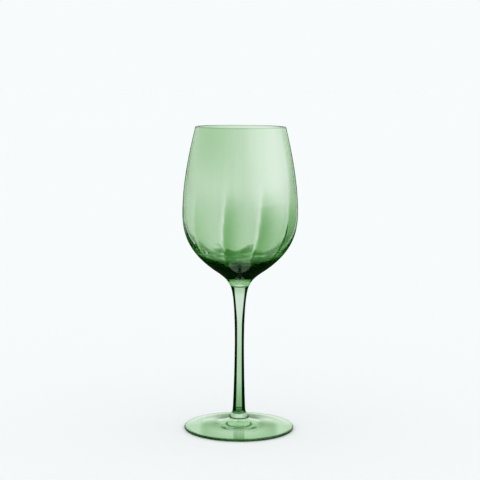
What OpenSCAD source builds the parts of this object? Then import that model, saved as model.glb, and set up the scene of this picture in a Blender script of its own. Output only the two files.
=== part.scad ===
// Stemmed wine glass: a blown bowl, a solid stem and a pressed foot, fused end to end.
// The origin is the middle of the circle that the foot stands on, and +Z runs up the stem.
// Each piece is one outline turned round the axis. Outline points are [radius, height].

/* [Bowl] */
// Height of the bowl, from the weld on the stem to the rim
bowl_h = 116; // [95:0.5:145]
// Outside diameter of the bowl at its widest
bowl_d = 83.8; // [68:0.1:102]
// Height of the widest place above the weld on the stem
belly_h = 53.3; // [42:0.1:66]
// Outside diameter of the rim
rim_d = 65.5; // [52:0.1:80]
// Angle of the bowl's side to the vertical at the rim
rim_lean = 13.6; // [6:0.1:20]
// How full the side is below the rim, as a share of its height
rim_fullness = 0.38; // [0.25:0.01:0.5]
// How full the side is above the widest place, as a share of its height
upper_fullness = 0.31; // [0.2:0.01:0.5]
// How full the side is below the widest place, as a share of its height
lower_fullness = 0.39; // [0.25:0.01:0.5]

/* [Wall] */
// Wall of the bowl at the rim
rim_wall = 1.15; // [0.8:0.05:1.8]
// Wall of the bowl at its widest
belly_wall = 1.6; // [1:0.05:2.6]
// Wall of the bowl where its side turns into the floor
turn_wall = 3.2; // [2:0.05:4.5]
// Glass between the middle of the floor and the weld on the stem
heel_t = 13.5; // [10:0.1:18]
// How flat the floor is, as a share of its radius
floor_fullness = 0.5; // [0.3:0.01:0.65]

/* [Heel] */
// Radius at which the round underside turns into the hollow neck
turn_r = 16.4; // [13:0.1:20]
// Height of that place above the weld on the stem
turn_h = 10.1; // [7:0.1:13]
// Angle of the surface to the vertical there
turn_slope = 56.5; // [45:0.5:65]
// How full the underside is outside that place, as a share of its length
heel_fullness = 0.47; // [0.3:0.01:0.55]

/* [Stem] */
// Length of the stem between its two welds
stem_l = 98; // [78:0.5:120]
// Diameter of the weld between bowl and stem
neck_d = 13.8; // [11:0.1:17]
// Angle of the surface to the vertical at that weld
neck_slope = 28.5; // [18:0.5:38]
// Diameter of the stem at its waist
waist_d = 6.8; // [5.4:0.1:8.4]
// Height of the waist above the weld on the foot
waist_h = 56; // [46:0.5:68]
// Diameter of the stem where it begins to flare into its collar
ankle_d = 9.3; // [7.6:0.1:11.2]
// Height of that place above the weld on the foot
ankle_h = 6.2; // [4.5:0.1:7.6]
// Widening of the stem there, as an angle to the vertical
ankle_slope = 4.1; // [0:0.1:8]

/* [Collar] */
// Diameter of the collar at the bottom of the stem
collar_d = 15.4; // [13.2:0.1:18.6]
// Rounding of the collar's edge
collar_round = 0.6; // [0.4:0.05:0.8]
// Angle of the flare to the vertical where it meets that rounding
flare_slope = 40; // [30:1:55]

/* [Foot] */
// Diameter of the foot
foot_d = 80.3; // [66:0.1:97]
// Height of the foot's boss, where the collar is fused on
boss_h = 8; // [6.4:0.1:9.8]
// Thickness of the foot's rounded edge
edge_t = 2; // [1.6:0.1:2.6]
// Slope of the foot's upper face at its edge, as an angle to the table
edge_slope = 4; // [1:0.5:6]
// Slope of the foot's upper face at the boss, as an angle to the table
boss_slope = 45; // [30:1:55]
// Width of the flat ring that the foot stands on
ring_w = 4; // [2:0.5:8]
// Height of the hollow under the middle of the foot
hollow_h = 2.4; // [1:0.1:3.6]

/* [Hidden] */

glass_green = [0.55, 0.77, 0.52, 0.6];
turns = 160;      // facets of a preview round the axis
steps = 14;       // points along each curve of an outline
arc_steps = 8;    // points along each rounded edge
neck_out = 0.65;  // share of the neck's length that its curve keeps its upper direction
neck_in = 0.17;   // the same, for its direction at the weld
throat_out = 5.9; // length over which the stem keeps its direction below that weld
waist_up = 0.4;   // share of the upper stem that runs straight above the waist
waist_down = 0.24; // share of the lower stem that runs straight below the waist
ankle_up = 0.19;  // share of the lower stem that runs straight above the ankle
flare_top = 0.5;  // share of the flare's height that keeps the ankle's direction
flare_low = 0.35; // share of the flare's height that keeps the collar's direction
wall_turn = 0.62; // place along the underside at which the floor begins
boss_run = 4;     // length over which the foot keeps its slope at the boss
edge_run = 16;    // length over which the foot keeps its slope at the edge
hollow_run = 0.5; // share of the hollow's radius that is flat in the middle

foot_weld_z = boss_h;
neck_weld_z = foot_weld_z + stem_l;
rim_z = neck_weld_z + bowl_h;
belly_z = neck_weld_z + belly_h;
turn_z = neck_weld_z + turn_h;
floor_z = neck_weld_z + heel_t;
waist_z = foot_weld_z + waist_h;
ankle_z = foot_weld_z + ankle_h;

rim_r = rim_d / 2;
belly_r = bowl_d / 2;
neck_r = neck_d / 2;
waist_r = waist_d / 2;
ankle_r = ankle_d / 2;
foot_weld_r = collar_d / 2 - collar_round;
edge_r = edge_t / 2;
edge_c = foot_d / 2 - edge_r;
ring_r = edge_c - ring_w;

// Direction that runs down and outwards at an angle to the vertical
function down(slope) = [sin(slope), -cos(slope)];
// Point and direction of travel on a cubic curve with the four control points p
function on_curve(p, t) = pow(1 - t, 3) * p[0] + 3 * pow(1 - t, 2) * t * p[1]
    + 3 * (1 - t) * t * t * p[2] + pow(t, 3) * p[3];
function along(p, t) = let(
    d = pow(1 - t, 2) * (p[1] - p[0]) + 2 * (1 - t) * t * (p[2] - p[1]) + t * t * (p[3] - p[2])
) d / norm(d);
// Points of a curve after its first one
function curve(p) = [for (i = [1:steps]) on_curve(p, i / steps)];
// Points of a curve moved towards the axis by a wall that grows from w0 to w1, up to place end
function inset(p, w0, w1, end = 1) = [
    for (i = [1:steps])
        let(t = end * i / steps, d = along(p, t), w = w0 + (w1 - w0) * pow(i / steps, 2))
        on_curve(p, t) + w * [d[1], -d[0]]
];
// Point at angle a on a round edge about centre c, and the points after it on the way to angle b
function on_edge(c, r, a) = c + r * [cos(a), sin(a)];
function edge(c, r, a, b) = [for (i = [1:arc_steps]) on_edge(c, r, a + (b - a) * i / arc_steps)];
function flip(points) = [for (i = [len(points) - 1:-1:0]) points[i]];

// Outside of the bowl, from the rim down to the weld
side_h = rim_z - belly_z;
lower_h = belly_z - turn_z;
turn_way = [-sin(turn_slope), -cos(turn_slope)];
neck_way = [-sin(neck_slope), -cos(neck_slope)];
lower_l = norm([belly_r - turn_r, lower_h]);
neck_l = norm([turn_r - neck_r, turn_z - neck_weld_z]);
rim_in = rim_wall / 2;
rim_c = [rim_r - rim_in * cos(rim_lean), rim_z - rim_in];
rim_p = on_edge(rim_c, rim_in, rim_lean);
belly_p = [belly_r, belly_z];
turn_p = [turn_r, turn_z];
neck_p = [neck_r, neck_weld_z];
side_curve = [
    rim_p,
    rim_p + rim_fullness * side_h * down(rim_lean),
    belly_p + [0, upper_fullness * side_h],
    belly_p
];
lower_curve = [
    belly_p,
    belly_p - [0, lower_fullness * lower_h],
    turn_p - heel_fullness * lower_l * turn_way,
    turn_p
];
neck_curve = [
    turn_p,
    turn_p + neck_out * neck_l * turn_way,
    neck_p - neck_in * neck_l * neck_way,
    neck_p
];

// Rounded rim: a half circle across the wall, square to the side
rim_start = on_edge(rim_c, rim_in, 180 + rim_lean);
rim_edge = concat([rim_start], edge(rim_c, rim_in, 180 + rim_lean, rim_lean));

// Inside of the bowl
side_in = inset(side_curve, rim_wall, belly_wall);
lower_in = inset(lower_curve, belly_wall, turn_wall, wall_turn);
floor_start = lower_in[steps - 1];
floor_way = along(lower_curve, wall_turn);
floor_curve = [
    floor_start,
    floor_start + floor_fullness * (floor_start[1] - floor_z) / max(-floor_way[1], 0.2) * floor_way,
    [floor_fullness * floor_start[0], floor_z],
    [0, floor_z]
];

module bowl() {
    color(glass_green)
        rotate_extrude($fn = turns)
            polygon(concat(
                [[0, neck_weld_z]],
                flip(concat(rim_edge, curve(side_curve), curve(lower_curve), curve(neck_curve))),
                side_in,
                lower_in,
                curve(floor_curve)
            ));
}

// Outside of the stem, from the weld on the bowl down to the weld on the foot
upper_l = neck_weld_z - waist_z;
lower_stem_l = waist_z - ankle_z;
collar_c = [foot_weld_r, foot_weld_z + collar_round];
collar_p = on_edge(collar_c, collar_round, flare_slope);
ankle_p = [ankle_r, ankle_z];
waist_p = [waist_r, waist_z];
flare_h = ankle_z - collar_p[1];
upper_stem_curve = [
    neck_p,
    neck_p + throat_out * neck_way,
    waist_p + [0, waist_up * upper_l],
    waist_p
];
lower_stem_curve = [
    waist_p,
    waist_p - [0, waist_down * lower_stem_l],
    ankle_p - ankle_up * lower_stem_l * down(ankle_slope),
    ankle_p
];
flare_curve = [
    ankle_p,
    ankle_p + flare_top * flare_h * down(ankle_slope),
    collar_p - flare_low * flare_h * down(flare_slope),
    collar_p
];

module stem() {
    color(glass_green)
        rotate_extrude($fn = turns)
            polygon(concat(
                [[0, neck_weld_z], neck_p],
                curve(upper_stem_curve),
                curve(lower_stem_curve),
                curve(flare_curve),
                edge(collar_c, collar_round, flare_slope, -90),
                [[0, foot_weld_z]]
            ));
}

// Upper face of the foot, from the boss out to the rounded edge
boss_p = [foot_weld_r, foot_weld_z];
edge_p = [edge_c, edge_t];
upper_face = [
    boss_p,
    boss_p + boss_run * down(90 - boss_slope),
    edge_p - edge_run * down(90 - edge_slope),
    edge_p
];
// Hollow under the foot, from the resting ring in to the axis
hollow = [
    [ring_r, 0],
    [ring_r * (1 - hollow_run / 2), hollow_h * hollow_run],
    [ring_r * hollow_run, hollow_h],
    [0, hollow_h]
];

module foot() {
    color(glass_green)
        rotate_extrude($fn = turns)
            polygon(concat(
                [[0, foot_weld_z], boss_p],
                curve(upper_face),
                edge([edge_c, edge_r], edge_r, 90, -90),
                [[ring_r, 0]],
                curve(hollow)
            ));
}

bowl();
stem();
foot();
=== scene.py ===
import math
from types import SimpleNamespace

import bpy
from mathutils import Matrix, Vector


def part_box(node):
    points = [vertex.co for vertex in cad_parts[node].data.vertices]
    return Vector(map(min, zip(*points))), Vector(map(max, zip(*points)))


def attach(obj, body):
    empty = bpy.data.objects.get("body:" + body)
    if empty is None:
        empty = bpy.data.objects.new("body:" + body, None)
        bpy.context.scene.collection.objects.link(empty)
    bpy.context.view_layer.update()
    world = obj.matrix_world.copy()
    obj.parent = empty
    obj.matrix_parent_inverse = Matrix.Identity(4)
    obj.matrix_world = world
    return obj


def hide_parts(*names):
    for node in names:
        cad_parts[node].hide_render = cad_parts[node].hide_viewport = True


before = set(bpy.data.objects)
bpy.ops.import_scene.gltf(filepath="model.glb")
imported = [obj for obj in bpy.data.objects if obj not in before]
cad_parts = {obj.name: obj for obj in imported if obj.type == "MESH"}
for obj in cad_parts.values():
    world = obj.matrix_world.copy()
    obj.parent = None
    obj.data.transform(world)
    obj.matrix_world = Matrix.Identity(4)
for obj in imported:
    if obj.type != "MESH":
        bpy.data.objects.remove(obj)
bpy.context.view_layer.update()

# ---- Bowl --------------------------------------------------------------------------------------
# The bowl is blown from a gather of clear green glass in an optic mould with ten ribs, then turned
# in a plain mould, so the ribs are left on its inside only and fade out towards the rim. Its solid
# heel ends in the flat face that the stem is fused to while both are hot.
mm = 0.001
bowl_low, bowl_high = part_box("bowl")
neck_z = bowl_low.z
rim_z = bowl_high.z
belly_r = min(bowl_high.x, bowl_high.y)
belly_z = neck_z + 53.3 * mm
rim_r = 32.75 * mm
rim_lean = 13.6        # degrees to the vertical, like the slopes below
turn_r = 16.4 * mm     # where the round underside turns into the hollow throat
turn_z = neck_z + 10.1 * mm
turn_slope = 56.5
neck_r = 6.9 * mm
neck_slope = 28.5
floor_z = neck_z + 13.5 * mm
rim_wall = 1.15 * mm
belly_wall = 1.6 * mm
turn_wall = 3.2 * mm
rim_fullness = 0.38    # share of each curve's length that it keeps the direction at one end
upper_fullness = 0.31
lower_fullness = 0.39
heel_fullness = 0.47
neck_out = 0.65
neck_in = 0.17
floor_fullness = 0.5
floor_from = 0.62      # place along the underside at which the inside turns into its floor
groove_depth = 0.16 * mm
groove_height = 0.9 * mm
weld_gap = 0.01 * mm   # each side of a weld stands back by this, so that each piece is closed glass
side_steps = 44
under_steps = 56
throat_steps = 30
floor_steps = 30
bowl_turns = 240
ribs = 10
rib_height = 0.22 * mm
rib_width = 0.42       # share of the way to the next rib over which a rib falls off
rib_edge = 0.03        # share over which its steep side rises
rib_dip = 0.09         # share over which the wall dips before it
rib_dip_share = 0.3    # depth of that dip, as a share of the rib's height
rib_twist = 3.5        # ribs that it leans past for each metre downwards
ribs_full_z = neck_z + 38 * mm
ribs_gone_z = neck_z + 83 * mm
bowl_colour = (0.848, 0.916, 0.833)  # what 1 mm of the glass lets through
bowl_inside = 0.16                   # share of the colour that is taken inside the glass
cord_strength = 0.15                 # how uneven the colour of the gather is
cord_scale = (60, 60, 16)            # changes in a metre along each axis
wave_height = 0.03 * mm
wave_scale = (90, 90, 220)
heel_wave = 16 * mm                  # how far the heel's dark top rises and falls, at most
heel_wave_scale = 95


def down(slope):
    """Direction that runs down and outwards at an angle to the vertical, as (radius, height)."""
    return Vector((math.sin(math.radians(slope)), -math.cos(math.radians(slope))))


def down_in(slope):
    """The same, but inwards."""
    return Vector((-math.sin(math.radians(slope)), -math.cos(math.radians(slope))))


def on_curve(p, t):
    """Point at place t on a cubic curve with four control points."""
    s = 1 - t
    return s**3 * p[0] + 3 * s * s * t * p[1] + 3 * s * t * t * p[2] + t**3 * p[3]


def along(p, t):
    """Direction of travel at place t on the same curve."""
    s = 1 - t
    step = s * s * (p[1] - p[0]) + 2 * s * t * (p[2] - p[1]) + t * t * (p[3] - p[2])
    return step.normalized()


def curve(p, steps):
    """Points of a curve after its first one."""
    return [on_curve(p, i / steps) for i in range(1, steps + 1)]


def inset(p, steps, wall, end_wall, end=1.0):
    """Points of a curve moved towards the axis by a wall that grows along it."""
    points = []
    for i in range(1, steps + 1):
        way = along(p, end * i / steps)
        thick = wall + (end_wall - wall) * (i / steps) ** 2
        points.append(on_curve(p, end * i / steps) + thick * Vector((way.y, -way.x)))
    return points


def edge(centre, radius, start, end, steps=12):
    """Points of a rounded edge, from angle start to angle end."""
    turn = [math.radians(start + (end - start) * i / steps) for i in range(steps + 1)]
    return [centre + radius * Vector((math.cos(a), math.sin(a))) for a in turn]


def disc(radius, z, steps=6):
    """Points of a flat face, from its edge to the axis."""
    return [Vector((radius * (1 - i / steps), z)) for i in range(1, steps + 1)]


def grooved(points, weld_z):
    """Points with the shallow groove that the melted edges leave round a weld."""
    result = []
    for p in points:
        far = abs(p.y - weld_z) / groove_height
        result.append(Vector((p.x - groove_depth * math.exp(-4 * far * far), p.y)))
    return result


side_h = rim_z - belly_z
lower_h = belly_z - turn_z
turn_way = down_in(turn_slope)
neck_way = down_in(neck_slope)
lower_l = math.hypot(belly_r - turn_r, lower_h)
neck_l = math.hypot(turn_r - neck_r, turn_z - neck_z)
lip_r = rim_wall / 2
lip = Vector((rim_r - lip_r * math.cos(math.radians(rim_lean)), rim_z - lip_r))
lip_edge = edge(lip, lip_r, 180 + rim_lean, rim_lean)
belly = Vector((belly_r, belly_z))
turn = Vector((turn_r, turn_z))
neck = Vector((neck_r, neck_z))
side = [
    lip_edge[-1],
    lip_edge[-1] + rim_fullness * side_h * down(rim_lean),
    belly + Vector((0, upper_fullness * side_h)),
    belly,
]
underside = [
    belly,
    belly - Vector((0, lower_fullness * lower_h)),
    turn - heel_fullness * lower_l * turn_way,
    turn,
]
throat = [
    turn,
    turn + neck_out * neck_l * turn_way,
    neck - neck_in * neck_l * neck_way,
    neck,
]
side_in = inset(side, side_steps, rim_wall, belly_wall)
under_in = inset(underside, side_steps, belly_wall, turn_wall, floor_from)
floor_way = along(underside, floor_from)
floor_run = floor_fullness * (under_in[-1].y - floor_z) / max(-floor_way.y, 0.2)
bowl_floor = [
    under_in[-1],
    under_in[-1] + floor_run * floor_way,
    Vector((floor_fullness * under_in[-1].x, floor_z)),
    Vector((0, floor_z)),
]
inside = side_in + under_in + curve(bowl_floor, floor_steps)
outside = curve(side, side_steps) + curve(underside, under_steps)
outside = outside + grooved(curve(throat, throat_steps), neck_z)
outside[-1].y += weld_gap


def build(tree, kind, inputs=(), **settings):
    """A node with its settings, and its inputs in order: a socket is linked, a value is set."""
    made = tree.nodes.new(kind)
    for name, value in settings.items():
        setattr(made, name, value)
    for socket, value in zip(made.inputs, inputs):
        if isinstance(value, bpy.types.NodeSocket):
            tree.links.new(value, socket)
        elif value is not None:
            socket.default_value = value
    return made


def maths(tree, operation, *values):
    """The result of one Math node."""
    return build(tree, "ShaderNodeMath", values, operation=operation).outputs[0]


def total(tree, *values):
    """The sum of some values."""
    result = values[0]
    for value in values[1:]:
        result = maths(tree, "ADD", result, value)
    return result


def product(tree, *values):
    """Some values multiplied together."""
    result = values[0]
    for value in values[1:]:
        result = maths(tree, "MULTIPLY", result, value)
    return result


def between(tree, value, low, high, at_low, at_high, shape="SMOOTHSTEP"):
    """A value that goes smoothly from at_low to at_high as another goes from low to high."""
    given = [value, low, high, at_low, at_high]
    return build(tree, "ShaderNodeMapRange", given, interpolation_type=shape).outputs[0]


def fall_off(tree, value, width):
    """1 where a value is 0, and less and less on the way to some widths from there."""
    far = maths(tree, "DIVIDE", value, width)
    return maths(tree, "EXPONENT", product(tree, far, far, -1))


def glass_lathe():
    """Geometry Nodes that turn an outline round the axis, with ribs on its inner wall if it has one."""
    tree = bpy.data.node_groups.new("glass lathe", "GeometryNodeTree")
    tree.is_modifier = True
    sockets = tree.interface
    sockets.new_socket("Outline", in_out="INPUT", socket_type="NodeSocketGeometry")
    for name in ("Turns", "Ribs"):
        sockets.new_socket(name, in_out="INPUT", socket_type="NodeSocketInt")
    for name in (
        "Rib height", "Rib width", "Rib edge", "Rib dip", "Rib twist",
        "Ribs full", "Ribs gone", "Upper weld", "Lower weld",
    ):
        sockets.new_socket(name, in_out="INPUT", socket_type="NodeSocketFloat")
    sockets.new_socket("Glass", in_out="INPUT", socket_type="NodeSocketMaterial")
    sockets.new_socket("Piece", in_out="OUTPUT", socket_type="NodeSocketGeometry")
    given = tree.nodes.new("NodeGroupInput").outputs
    outline = given["Outline"]

    # A grid with one row for each point of the outline and one column for each turn
    count = build(tree, "GeometryNodeAttributeDomainSize", [outline]).outputs["Point Count"]
    columns = maths(tree, "ADD", given["Turns"], 1)
    grid = build(tree, "GeometryNodeMeshGrid", [1, 1, count, columns])
    index = tree.nodes.new("GeometryNodeInputIndex").outputs[0]
    row = maths(tree, "FLOOR", maths(tree, "DIVIDE", maths(tree, "ADD", index, 0.5), columns))
    column = maths(tree, "SUBTRACT", index, maths(tree, "MULTIPLY", row, columns))
    place = tree.nodes.new("GeometryNodeInputPosition").outputs[0]
    point = build(tree, "GeometryNodeSampleIndex", [outline, place, row], data_type="FLOAT_VECTOR")
    split = build(tree, "ShaderNodeSeparateXYZ", [point.outputs[0]]).outputs
    angle = product(tree, maths(tree, "DIVIDE", column, given["Turns"]), math.tau)
    turned = build(tree, "ShaderNodeCombineXYZ", [
        product(tree, split["X"], maths(tree, "COSINE", angle)),
        product(tree, split["X"], maths(tree, "SINE", angle)),
        split["Z"],
    ])
    shape = build(tree, "GeometryNodeSetPosition", [grid.outputs["Mesh"], None, turned.outputs[0]])
    read = build(tree, "GeometryNodeInputNamedAttribute", ["inner"], data_type="FLOAT")
    copied = build(tree, "GeometryNodeSampleIndex", [outline, read.outputs[0], row], data_type="FLOAT")
    stored = build(
        tree, "GeometryNodeStoreNamedAttribute", [shape.outputs[0], None, "inner", copied.outputs[0]],
        data_type="FLOAT", domain="POINT",
    )
    closed = build(tree, "GeometryNodeMergeByDistance", [stored.outputs[0]])
    closed.inputs["Distance"].default_value = 0.001 * mm

    # Each rib has a steep side with a dip before it, and falls off slowly on its other side
    at = build(tree, "ShaderNodeSeparateXYZ", [place]).outputs
    around = maths(tree, "ARCTAN2", at["Y"], at["X"])
    share = product(tree, around, maths(tree, "DIVIDE", given["Ribs"], math.tau))
    below = maths(tree, "SUBTRACT", given["Ribs full"], at["Z"])
    share = total(tree, share, product(tree, below, given["Rib twist"]))
    past_rib = maths(tree, "FRACT", total(tree, share, given["Ribs"]))
    slope = fall_off(tree, past_rib, given["Rib width"])
    steep = maths(tree, "DIVIDE", past_rib, product(tree, given["Rib edge"], -1))
    rise = maths(tree, "SUBTRACT", 1, maths(tree, "EXPONENT", steep))
    dip = fall_off(tree, maths(tree, "SUBTRACT", 1, past_rib), given["Rib dip"])
    swell = total(tree, product(tree, slope, rise), product(tree, dip, -rib_dip_share))

    # They fade out towards the rim and towards the axis
    smoother = "SMOOTHERSTEP"
    fade = between(tree, at["Z"], given["Ribs full"], given["Ribs gone"], 1, 0, smoother)
    squares = total(tree, product(tree, at["X"], at["X"]), product(tree, at["Y"], at["Y"]))
    radius = maths(tree, "SQRT", squares)
    off_axis = between(tree, radius, 3 * mm, 20 * mm, 0, 1, smoother)
    strength = product(tree, swell, fade, off_axis)
    marked = build(
        tree, "GeometryNodeStoreNamedAttribute", [closed.outputs[0], None, "rib", strength],
        data_type="FLOAT", domain="POINT",
    )
    inner = build(tree, "GeometryNodeInputNamedAttribute", ["inner"], data_type="FLOAT").outputs[0]
    height = product(tree, strength, inner, given["Rib height"])
    normal = tree.nodes.new("GeometryNodeInputNormal").outputs[0]
    lift = build(tree, "ShaderNodeVectorMath", [normal, None, None, height], operation="SCALE")
    ribbed = build(tree, "GeometryNodeSetPosition", [marked.outputs[0], None, None, lift.outputs[0]])

    # The welds are flat faces
    welds = []
    for name in ("Upper weld", "Lower weld"):
        gap = maths(tree, "ABSOLUTE", maths(tree, "SUBTRACT", at["Z"], given[name]))
        welds.append(maths(tree, "LESS_THAN", gap, 0.001 * mm))
    is_round = maths(tree, "SUBTRACT", 1, maths(tree, "MAXIMUM", *welds))
    smooth = build(tree, "GeometryNodeSetShadeSmooth", [ribbed.outputs[0], None, is_round])
    real = build(tree, "GeometryNodeRealizeInstances", [smooth.outputs[0]])
    glass = build(tree, "GeometryNodeSetMaterial", [real.outputs[0], None, given["Glass"]])
    tree.links.new(glass.outputs[0], tree.nodes.new("NodeGroupOutput").inputs[0])
    return tree


lathe = glass_lathe()


def turned_piece(name, outer, inner, sizes):
    """A piece from its outline: the points of its inner wall, then all the others."""
    mesh = bpy.data.meshes.new(name)
    points = inner + outer
    steps = [(i, i + 1) for i in range(len(points) - 1)]
    mesh.from_pydata([(p.x, 0, p.y) for p in points], steps, [])
    is_inner = mesh.attributes.new("inner", "FLOAT", "POINT")
    is_inner.data.foreach_set("value", [1.0] * len(inner) + [0.0] * len(outer))
    piece = bpy.data.objects.new(name, mesh)
    bpy.context.scene.collection.objects.link(piece)
    turning = piece.modifiers.new("glass lathe", "NODES")
    turning.node_group = lathe
    for item in lathe.interface.items_tree:
        if item.in_out == "INPUT" and item.name in sizes:
            turning[item.identifier] = sizes[item.name]
    bpy.context.view_layer.update()
    shown = bpy.context.evaluated_depsgraph_get()
    piece.data = bpy.data.meshes.new_from_object(piece.evaluated_get(shown), depsgraph=shown)
    piece.modifiers.clear()
    bpy.data.meshes.remove(mesh)
    piece.data.name = name
    return piece


def noise(tree, place, scale, detail):
    """Smooth noise, with a number of changes in a metre along each axis."""
    stretched = build(tree, "ShaderNodeMapping", [place, None, None, scale])
    made = build(tree, "ShaderNodeTexNoise", [stretched.outputs[0]], noise_dimensions="3D")
    made.inputs["Scale"].default_value = 1
    made.inputs["Detail"].default_value = detail
    return made.outputs[0]


def tint_group():
    """Shader nodes for the colour that a depth of green glass leaves in the light, and for the faint
    waves that blowing and turning leave in its surface."""
    tree = bpy.data.node_groups.new("green glass tint", "ShaderNodeTree")
    sockets = tree.interface
    # The depth that it is given holds painted shade as well as the glass's own depth.
    sockets.new_socket("Depth", in_out="INPUT", socket_type="NodeSocketFloat")
    sockets.new_socket("Colour of 1 mm", in_out="INPUT", socket_type="NodeSocketColor")
    sockets.new_socket("Cords", in_out="INPUT", socket_type="NodeSocketFloat")
    sockets.new_socket("Colour", in_out="OUTPUT", socket_type="NodeSocketColor")
    sockets.new_socket("Waves", in_out="OUTPUT", socket_type="NodeSocketFloat")
    given = tree.nodes.new("NodeGroupInput").outputs
    place = tree.nodes.new("ShaderNodeTexCoord").outputs["Object"]
    cords = maths(tree, "SUBTRACT", noise(tree, place, cord_scale, 2), 0.5)
    depth = product(tree, given["Depth"], total(tree, product(tree, cords, given["Cords"]), 1))
    channels = build(tree, "ShaderNodeSeparateColor", [given["Colour of 1 mm"]])
    left = [maths(tree, "POWER", channel, depth) for channel in channels.outputs[:3]]
    given_back = tree.nodes.new("NodeGroupOutput").inputs
    tree.links.new(build(tree, "ShaderNodeCombineColor", left).outputs[0], given_back["Colour"])
    tree.links.new(noise(tree, place, wave_scale, 1), given_back["Waves"])
    return tree


tint = tint_group()


def green_glass(name, colour_of_1_mm, share_inside, depth_and_shade_of):
    """Green glass. Light loses a share of the colour along its way through the glass, and the rest
    where it crosses the surface, by a depth in mm that depth_and_shade_of gives for each place. That
    depth holds painted shade as well as the glass's own depth."""
    material = bpy.data.materials.new(name)
    material.use_nodes = True
    tree = material.node_tree
    shader = tree.nodes["Principled BSDF"]
    shader.inputs["Transmission Weight"].default_value = 1
    shader.inputs["Metallic"].default_value = 0
    shader.inputs["Roughness"].default_value = 0
    shader.inputs["IOR"].default_value = 1.5
    taken = [-share_inside * math.log(channel) / mm for channel in colour_of_1_mm]
    inside_glass = tree.nodes.new("ShaderNodeVolumeAbsorption")
    inside_glass.inputs["Density"].default_value = max(taken)
    inside_glass.inputs["Color"].default_value = (*(1 - each / max(taken) for each in taken), 1)
    tree.links.new(inside_glass.outputs[0], tree.nodes["Material Output"].inputs["Volume"])
    place = tree.nodes.new("ShaderNodeTexCoord").outputs["Object"]
    x, y, z = build(tree, "ShaderNodeSeparateXYZ", [place]).outputs
    leaving = tree.nodes.new("ShaderNodeNewGeometry").outputs["Backfacing"]
    at = SimpleNamespace(
        x=x, y=y, z=z,
        facing=build(tree, "ShaderNodeLayerWeight", [0.5]).outputs["Facing"],
        entering=maths(tree, "SUBTRACT", 1, leaving),
    )
    body = build(tree, "ShaderNodeGroup", node_tree=tint)
    tree.links.new(depth_and_shade_of(tree, at), body.inputs["Depth"])
    body.inputs["Colour of 1 mm"].default_value = (*colour_of_1_mm, 1)
    body.inputs["Cords"].default_value = cord_strength
    tree.links.new(body.outputs["Colour"], shader.inputs["Base Color"])
    waved = tree.nodes.new("ShaderNodeBump")
    waved.inputs["Strength"].default_value = 1
    waved.inputs["Distance"].default_value = wave_height
    tree.links.new(body.outputs["Waves"], waved.inputs["Height"])
    tree.links.new(waved.outputs[0], shader.inputs["Normal"])
    return material


def heel_depth_and_shade(tree, at, outer_wall):
    """The heel is nearly black up to a wavy line, from the depth of its thick glass with painted
    shade on top, and painted shade darkens its slanting sides higher up too, where they are seen
    edge on. Both count only where light enters, or the far side would show through as a second line."""
    where = build(tree, "ShaderNodeCombineXYZ", [at.x, at.y, at.z])
    rolls = build(tree, "ShaderNodeTexNoise", [where.outputs[0]])
    rolls.inputs["Scale"].default_value = heel_wave_scale
    rolls.inputs["Detail"].default_value = 0.5
    roll = product(tree, maths(tree, "SUBTRACT", rolls.outputs[0], 0.5), heel_wave)
    # Depth of the thick heel with painted shade on top, up to the wavy line.
    heel = between(tree, total(tree, at.z, roll), neck_z + 15.5 * mm, neck_z + 22 * mm, 42, 0)
    heel = product(tree, heel, at.entering, between(tree, outer_wall, 0, 1, 0.6, 1))
    # Painted shade on the slanting sides, where they are seen edge on.
    low = between(tree, at.z, neck_z + 16 * mm, neck_z + 26 * mm, 1, 0)
    painted_slant_shade = product(tree, low, between(tree, at.facing, 0.33, 0.6, 0, 75), at.entering, outer_wall)
    return total(tree, heel, painted_slant_shade)


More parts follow.
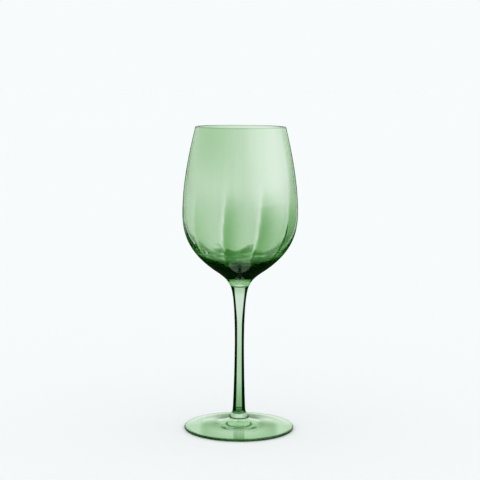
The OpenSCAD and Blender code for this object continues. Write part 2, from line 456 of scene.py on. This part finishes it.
def bowl_depth_and_shade(tree, at):
    """Painted shade darkens the left side and high up there, with the right side lighter, and runs
    across each panel on the front from its rib, and along the right edge. The glass is darker low
    down, most on the right, and in its heel, which holds painted shade too. A wall that is seen edge
    on is deeper, from its longer path with painted shade on top. The throat under the heel is clear
    down to the dark line at the weld."""
    above_throat = between(tree, at.z, neck_z + 5.5 * mm, neck_z + 7 * mm, 0, 1)
    inner = build(tree, "ShaderNodeAttribute", attribute_name="inner").outputs["Fac"]
    rib = build(tree, "ShaderNodeAttribute", attribute_name="rib").outputs["Fac"]

    # Painted shade: the left side darker and the right side lighter.
    painted_side_shade = between(tree, at.x, 0, 28 * mm, 1.55, 0.85)
    low = between(tree, at.z, 172 * mm, 146 * mm, 0, 1)
    low = product(tree, low, between(tree, at.x, 0, 26 * mm, 0.2, 1.1))
    # The heel: deep colour of thick glass with painted shade on top.
    heel = heel_depth_and_shade(tree, at, maths(tree, "SUBTRACT", 1, inner))
    # Walls seen edge on are deeper: their longer path through the glass, with painted shade on top.
    edge_on = between(tree, at.z, 130 * mm, 152 * mm, 0.5, 0.8)
    edge_full = between(tree, at.z, 130 * mm, 152 * mm, 0.75, 0.92)
    edge_depth_and_shade = between(tree, at.facing, edge_on, edge_full, 0, 24)

    # Painted shade high up on the left.
    high = between(tree, at.z, 165 * mm, 215 * mm, 0, 1.3)
    high = product(tree, high, between(tree, at.x, -24 * mm, 10 * mm, 1, 0))
    # Painted shade and light across each panel on the front: dark just past its rib, fading, with a
    # lighter strip before the next.
    front_shade_mask = between(tree, at.y, -10 * mm, 20 * mm, 5.5, 0.3)
    painted_panel_shade = product(tree, rib, front_shade_mask, between(tree, at.x, -32 * mm, -12 * mm, 0.3, 1))
    # Painted shade along the right edge, where the wall is seen edge on, more higher up.
    right_edge_shade_on = between(tree, at.z, 150 * mm, 178 * mm, 0.22, 0.5)
    right_edge_shade_full = between(tree, at.z, 150 * mm, 178 * mm, 0.45, 0.62)
    right_edge_shade_depth = between(tree, at.z, 163 * mm, 183 * mm, 1.3, 3.2)
    right_edge_shade = between(tree, at.facing, right_edge_shade_on, right_edge_shade_full, 0, right_edge_shade_depth)
    right_edge_shade = product(tree, right_edge_shade, between(tree, at.x, 10 * mm, 26 * mm, 0, 1))
    lip_line = between(tree, at.z, rim_z - 1.2 * mm, rim_z - 0.6 * mm, 0, 1.5)
    weld_line = between(tree, at.z, neck_z + 0.3 * mm, neck_z + 0.7 * mm, 16, 0)

    body = product(tree, total(tree, painted_side_shade, low, heel, edge_depth_and_shade), above_throat)
    return total(tree, body, high, painted_panel_shade, right_edge_shade, lip_line, weld_line)


bowl_glass = green_glass("bowl glass", bowl_colour, bowl_inside, bowl_depth_and_shade)
bowl_sizes = {
    "Turns": bowl_turns, "Ribs": ribs, "Rib height": rib_height, "Rib width": rib_width,
    "Rib edge": rib_edge, "Rib dip": rib_dip, "Rib twist": rib_twist,
    "Ribs full": ribs_full_z, "Ribs gone": ribs_gone_z,
    "Upper weld": outside[-1].y, "Lower weld": outside[-1].y, "Glass": bowl_glass,
}
bowl_outer = lip_edge + outside + disc(*outside[-1])
bowl = turned_piece("bowl", bowl_outer, inside[::-1], bowl_sizes)
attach(bowl, "root")
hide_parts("bowl")

# ---- Stem --------------------------------------------------------------------------------------
# The stem is a solid rod of the same green glass, drawn out thin below its trumpet head and pressed
# out into a collar at its foot. Its head is fused to the heel of the bowl.
boss_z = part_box("stem")[0].z
throat_run = 5.9 * mm
waist_r = 3.4 * mm
waist_z = boss_z + 56 * mm
waist_up = 0.4         # share of the rod's upper part that runs straight above the waist
waist_down = 0.24      # the same for its lower part, below the waist
ankle_up = 0.19
ankle_r = 4.65 * mm
ankle_z = boss_z + 6.2 * mm
ankle_slope = 4.1
collar_round = 0.6 * mm
collar_r = 7.7 * mm - collar_round
flare_slope = 40
flare_top = 0.5
flare_foot = 0.35
upper_steps = 60
lower_steps = 40
flare_steps = 16
stem_turns = 144
stem_colour = (0.848, 0.915, 0.84)
stem_inside = 0.22
upper_l = neck_z - waist_z
stem_l = waist_z - ankle_z
waist = Vector((waist_r, waist_z))
ankle = Vector((ankle_r, ankle_z))
collar = Vector((collar_r, boss_z + collar_round))
collar_edge = edge(collar, collar_round, flare_slope, -90)
flare_h = ankle_z - collar_edge[0].y
upper_stem = [
    neck,
    neck + throat_run * neck_way,
    waist + Vector((0, waist_up * upper_l)),
    waist,
]
lower_stem = [
    waist,
    waist - Vector((0, waist_down * stem_l)),
    ankle - ankle_up * stem_l * down(ankle_slope),
    ankle,
]
flare = [
    ankle,
    ankle + flare_top * flare_h * down(ankle_slope),
    collar_edge[0] - flare_foot * flare_h * down(flare_slope),
    collar_edge[0],
]
rod = [neck] + curve(upper_stem, upper_steps) + curve(lower_stem, lower_steps)
rod = rod + curve(flare, flare_steps)
rod = grooved(rod, neck_z) + collar_edge[1:]
rod[0].y -= weld_gap
rod[-1].y += weld_gap


def stem_depth_and_shade(tree, at):
    """The head of the stem has hardly any colour, and it deepens towards the foot. Painted shade
    darkens its sides, where the rod is seen edge on, and lies in the crease over the collar. Dark
    lines lie at the weld and under the collar, which is itself nearly clear."""
    drawn = between(tree, at.z, 100 * mm, 40 * mm, 0.2, 2.8)
    head = between(tree, at.z, 99 * mm, 104 * mm, 0, 1.6)
    low = between(tree, at.z, 40 * mm, 14 * mm, 0, 4.5)
    above_collar = between(tree, at.z, 11.5 * mm, 14 * mm, 0.1, 1)
    core = product(tree, total(tree, drawn, head, low), above_collar)
    # Painted shade at the sides of the rod, where it is seen edge on.
    edge_shade_on = between(tree, at.z, 76 * mm, 102 * mm, 0.105, 0.26)
    edge_shade_full = between(tree, at.z, 76 * mm, 102 * mm, 0.22, 0.40)
    painted_edge_shade = between(tree, at.facing, edge_shade_on, edge_shade_full, 0, 95)
    painted_edge_shade = product(tree, painted_edge_shade, between(tree, at.z, 12 * mm, 15 * mm, 0.04, 1))
    # Painted shade in the crease over the collar.
    painted_crease_shade = between(tree, at.z, 13.6 * mm, 14.3 * mm, 0, 20)
    painted_crease_shade = product(tree, painted_crease_shade, between(tree, at.z, 14.8 * mm, 15.4 * mm, 1, 0))
    under_collar = between(tree, at.z, 9.3 * mm, 8.7 * mm, 0, 30)
    weld_line = between(tree, at.z, neck_z - 0.7 * mm, neck_z - 0.3 * mm, 0, 16)
    return total(tree, core, painted_edge_shade, painted_crease_shade, under_collar, weld_line)


stem_glass = green_glass("stem glass", stem_colour, stem_inside, stem_depth_and_shade)
stem_points = disc(*rod[0])[::-1] + rod + disc(*rod[-1])
stem = turned_piece("stem", stem_points, [], {
    "Turns": stem_turns, "Upper weld": rod[0].y, "Lower weld": rod[-1].y, "Glass": stem_glass,
})
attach(stem, "root")
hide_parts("stem")

# ---- Foot --------------------------------------------------------------------------------------
# The foot is a gob of the same glass pressed into a disc and spun, so that it is a low cone with a
# fire-polished edge and a shallow hollow underneath. Its boss is fused to the collar of the stem.
foot_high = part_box("foot")[1]
edge_r = 1.0 * mm
edge_x = min(foot_high.x, foot_high.y) - edge_r
ring_r = edge_x - 4 * mm   # inside of the flat ring that the foot stands on
hollow_h = 2.4 * mm
boss_slope = 45        # degrees to the table
boss_run = 4 * mm
edge_slope = 4
edge_run = 16 * mm
face_steps = 44
edge_steps = 18
hollow_steps = 36
foot_turns = 240
foot_colour = (0.86, 0.93, 0.85)
foot_inside = 0.12
boss = Vector((collar_r, boss_z - weld_gap))
edge_top = Vector((edge_x, 2 * edge_r))
upper_face = [
    boss,
    boss + boss_run * down(90 - boss_slope),
    edge_top - edge_run * down(90 - edge_slope),
    edge_top,
]
hollow = [
    Vector((ring_r, 0)),
    Vector((0.75 * ring_r, 0.5 * hollow_h)),
    Vector((0.5 * ring_r, hollow_h)),
    Vector((0, hollow_h)),
]
foot_edge = edge(Vector((edge_x, edge_r)), edge_r, 90, -90, edge_steps)
foot_top = [boss] + curve(upper_face, face_steps) + foot_edge[1:]
foot_under = [hollow[0]] + curve(hollow, hollow_steps)


def foot_depth_and_shade(tree, at):
    """The disc is palest round its boss. Its rounded edge is seen through its width. Painted shade
    darkens its front where it is seen at a low angle, except at the left and right ends."""
    squares = total(tree, product(tree, at.x, at.x), product(tree, at.y, at.y))
    away = maths(tree, "SQRT", squares)
    rim = between(tree, away, edge_x + 0.2 * mm, edge_x + 0.8 * mm, 0, 28)
    middle = between(tree, away, 11 * mm, 16 * mm, 2.4, 3.4)
    # Painted shade on the front of the disc where it is seen at a low angle, less at the ends.
    painted_low_angle_shade = between(tree, at.facing, 0.6, 0.76, 0, 26)
    off_boss = between(tree, away, 14 * mm, 18 * mm, 0, 1)
    off_ends = between(tree, maths(tree, "ABSOLUTE", at.x), 24 * mm, 30 * mm, 1, 0.25)
    front_shade_mask = between(tree, at.y, -6 * mm, 12 * mm, 1, 0)
    return total(tree, middle, product(tree, painted_low_angle_shade, off_boss, off_ends, front_shade_mask), rim)


foot_glass = green_glass("foot glass", foot_colour, foot_inside, foot_depth_and_shade)
foot_points = disc(*boss)[::-1] + foot_top + foot_under
foot = turned_piece("foot", foot_points, [], {
    "Turns": foot_turns, "Upper weld": boss.y, "Lower weld": boss.y, "Glass": foot_glass,
})
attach(foot, "root")
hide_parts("foot")

# ---- Studio ------------------------------------------------------------------------------------
# The glass stands on a wide pale floor before a backdrop that is as pale, in even light. As is usual
# for glass, dark green cards stand low all round it, out of sight, and show only in what its surface
# mirrors, which gives it its outlines. Softboxes hang overhead and on the right. Through the glass
# the floor shows as pale as the backdrop.
pale = (0.93, 0.965, 0.973)
card_green = (0.012, 0.05, 0.012)
room_light = 0.35
wall_light = 1.0
wall_height = (0.00, 0.14, 0.40, 0.60)  # heights between which the cards end and the wall is bright
softboxes = (
    ((0, 0, 1), 26, 38, 1.6),           # direction, even to this angle, gone at this angle, strength
    ((0.9, -0.5, 0.45), 12, 50, 1.2),
)
floor_reach = 30.0
floor_height = -0.2 * mm
camera_place = (0, -0.973, 0.2553)
camera_lens = 101.05
camera_down = 6.78     # degrees below level
camera_roll = 0.35


def surface_rays(tree):
    """1 for a ray that the outside of the glass mirrors, and 1 for any ray that met glass, as long as
    nothing dull has scattered it on its way."""
    path = tree.nodes.new("ShaderNodeLightPath").outputs
    direct = maths(tree, "LESS_THAN", path["Diffuse Depth"], 0.5)
    mirrored = maths(tree, "GREATER_THAN", path["Glossy Depth"], 0.5)
    passed = maths(tree, "GREATER_THAN", path["Transmission Depth"], 0.5)
    outside_only = product(tree, direct, mirrored, maths(tree, "SUBTRACT", 1, passed))
    return outside_only, product(tree, direct, maths(tree, "MAXIMUM", mirrored, passed))


world = bpy.data.worlds.new("studio light")
bpy.context.scene.world = world
world.use_nodes = True
sky = world.node_tree
toward = sky.nodes.new("ShaderNodeTexCoord").outputs["Generated"]
height = build(sky, "ShaderNodeSeparateXYZ", [toward]).outputs["Z"]
wall = between(sky, height, *wall_height[:2], 0, wall_light)
above = between(sky, height, *wall_height[2:], 0, room_light - wall_light)
mirrored_light = maths(sky, "ADD", wall, above)
for direction, even_to, gone_at, strength in softboxes:
    aim = build(
        sky, "ShaderNodeVectorMath", [toward, Vector(direction).normalized()], operation="DOT_PRODUCT"
    ).outputs["Value"]
    ends = [math.cos(math.radians(angle)) for angle in (gone_at, even_to)]
    mirrored_light = maths(sky, "ADD", mirrored_light, between(sky, aim, *ends, 0, strength))
backdrop = build(sky, "ShaderNodeBackground", [(*pale, 1), 1])
room = build(sky, "ShaderNodeBackground", [(1, 1, 1, 1), mirrored_light])
cards = build(sky, "ShaderNodeBackground", [(*card_green, 1), 1])
in_mirror = build(sky, "ShaderNodeAddShader", [room.outputs[0], cards.outputs[0]])
by_ray = [surface_rays(sky)[0], backdrop.outputs[0], in_mirror.outputs[0]]
all_light = build(sky, "ShaderNodeMixShader", by_ray)
sky.links.new(all_light.outputs[0], sky.nodes["World Output"].inputs["Surface"])

floor_mesh = bpy.data.meshes.new("studio_floor")
corners = ((-1, -1), (1, -1), (1, 1), (-1, 1))
corners = [(x * floor_reach, y * floor_reach, floor_height) for x, y in corners]
floor_mesh.from_pydata(corners, [], [(0, 1, 2, 3)])
floor = bpy.data.objects.new("studio_floor", floor_mesh)
bpy.context.scene.collection.objects.link(floor)
floor_paint = bpy.data.materials.new("studio floor")
floor_paint.use_nodes = True
paint = floor_paint.node_tree
floor_shader = paint.nodes["Principled BSDF"]
floor_shader.inputs["Base Color"].default_value = (1, 1, 1, 1)
floor_shader.inputs["Roughness"].default_value = 1
floor_shader.inputs["Specular IOR Level"].default_value = 0
through_glass = build(paint, "ShaderNodeEmission", [(*pale, 1), 1])
in_mirror = build(paint, "ShaderNodeEmission", [(*card_green, 1), 1])
mirrored, met = surface_rays(paint)
plain = build(paint, "ShaderNodeMixShader", [met, floor_shader.outputs[0], through_glass.outputs[0]])
seen_floor = build(paint, "ShaderNodeMixShader", [mirrored, plain.outputs[0], in_mirror.outputs[0]])
paint.links.new(seen_floor.outputs[0], paint.nodes["Material Output"].inputs["Surface"])
floor_mesh.materials.append(floor_paint)

eye = bpy.data.cameras.new("camera")
eye.lens = camera_lens
eye.sensor_width = 36
eye.clip_start = 0.05
eye.clip_end = 100
camera = bpy.data.objects.new("camera", eye)
bpy.context.scene.collection.objects.link(camera)
tilt = Matrix.Rotation(math.radians(90 - camera_down), 4, "X")
roll = Matrix.Rotation(math.radians(camera_roll), 4, "Z")
camera.matrix_world = Matrix.Translation(camera_place) @ tilt @ roll
bpy.context.scene.camera = camera

scene = bpy.context.scene
scene.view_settings.view_transform = "Standard"
scene.cycles.max_bounces = 48
scene.cycles.transmission_bounces = 32
scene.cycles.glossy_bounces = 32
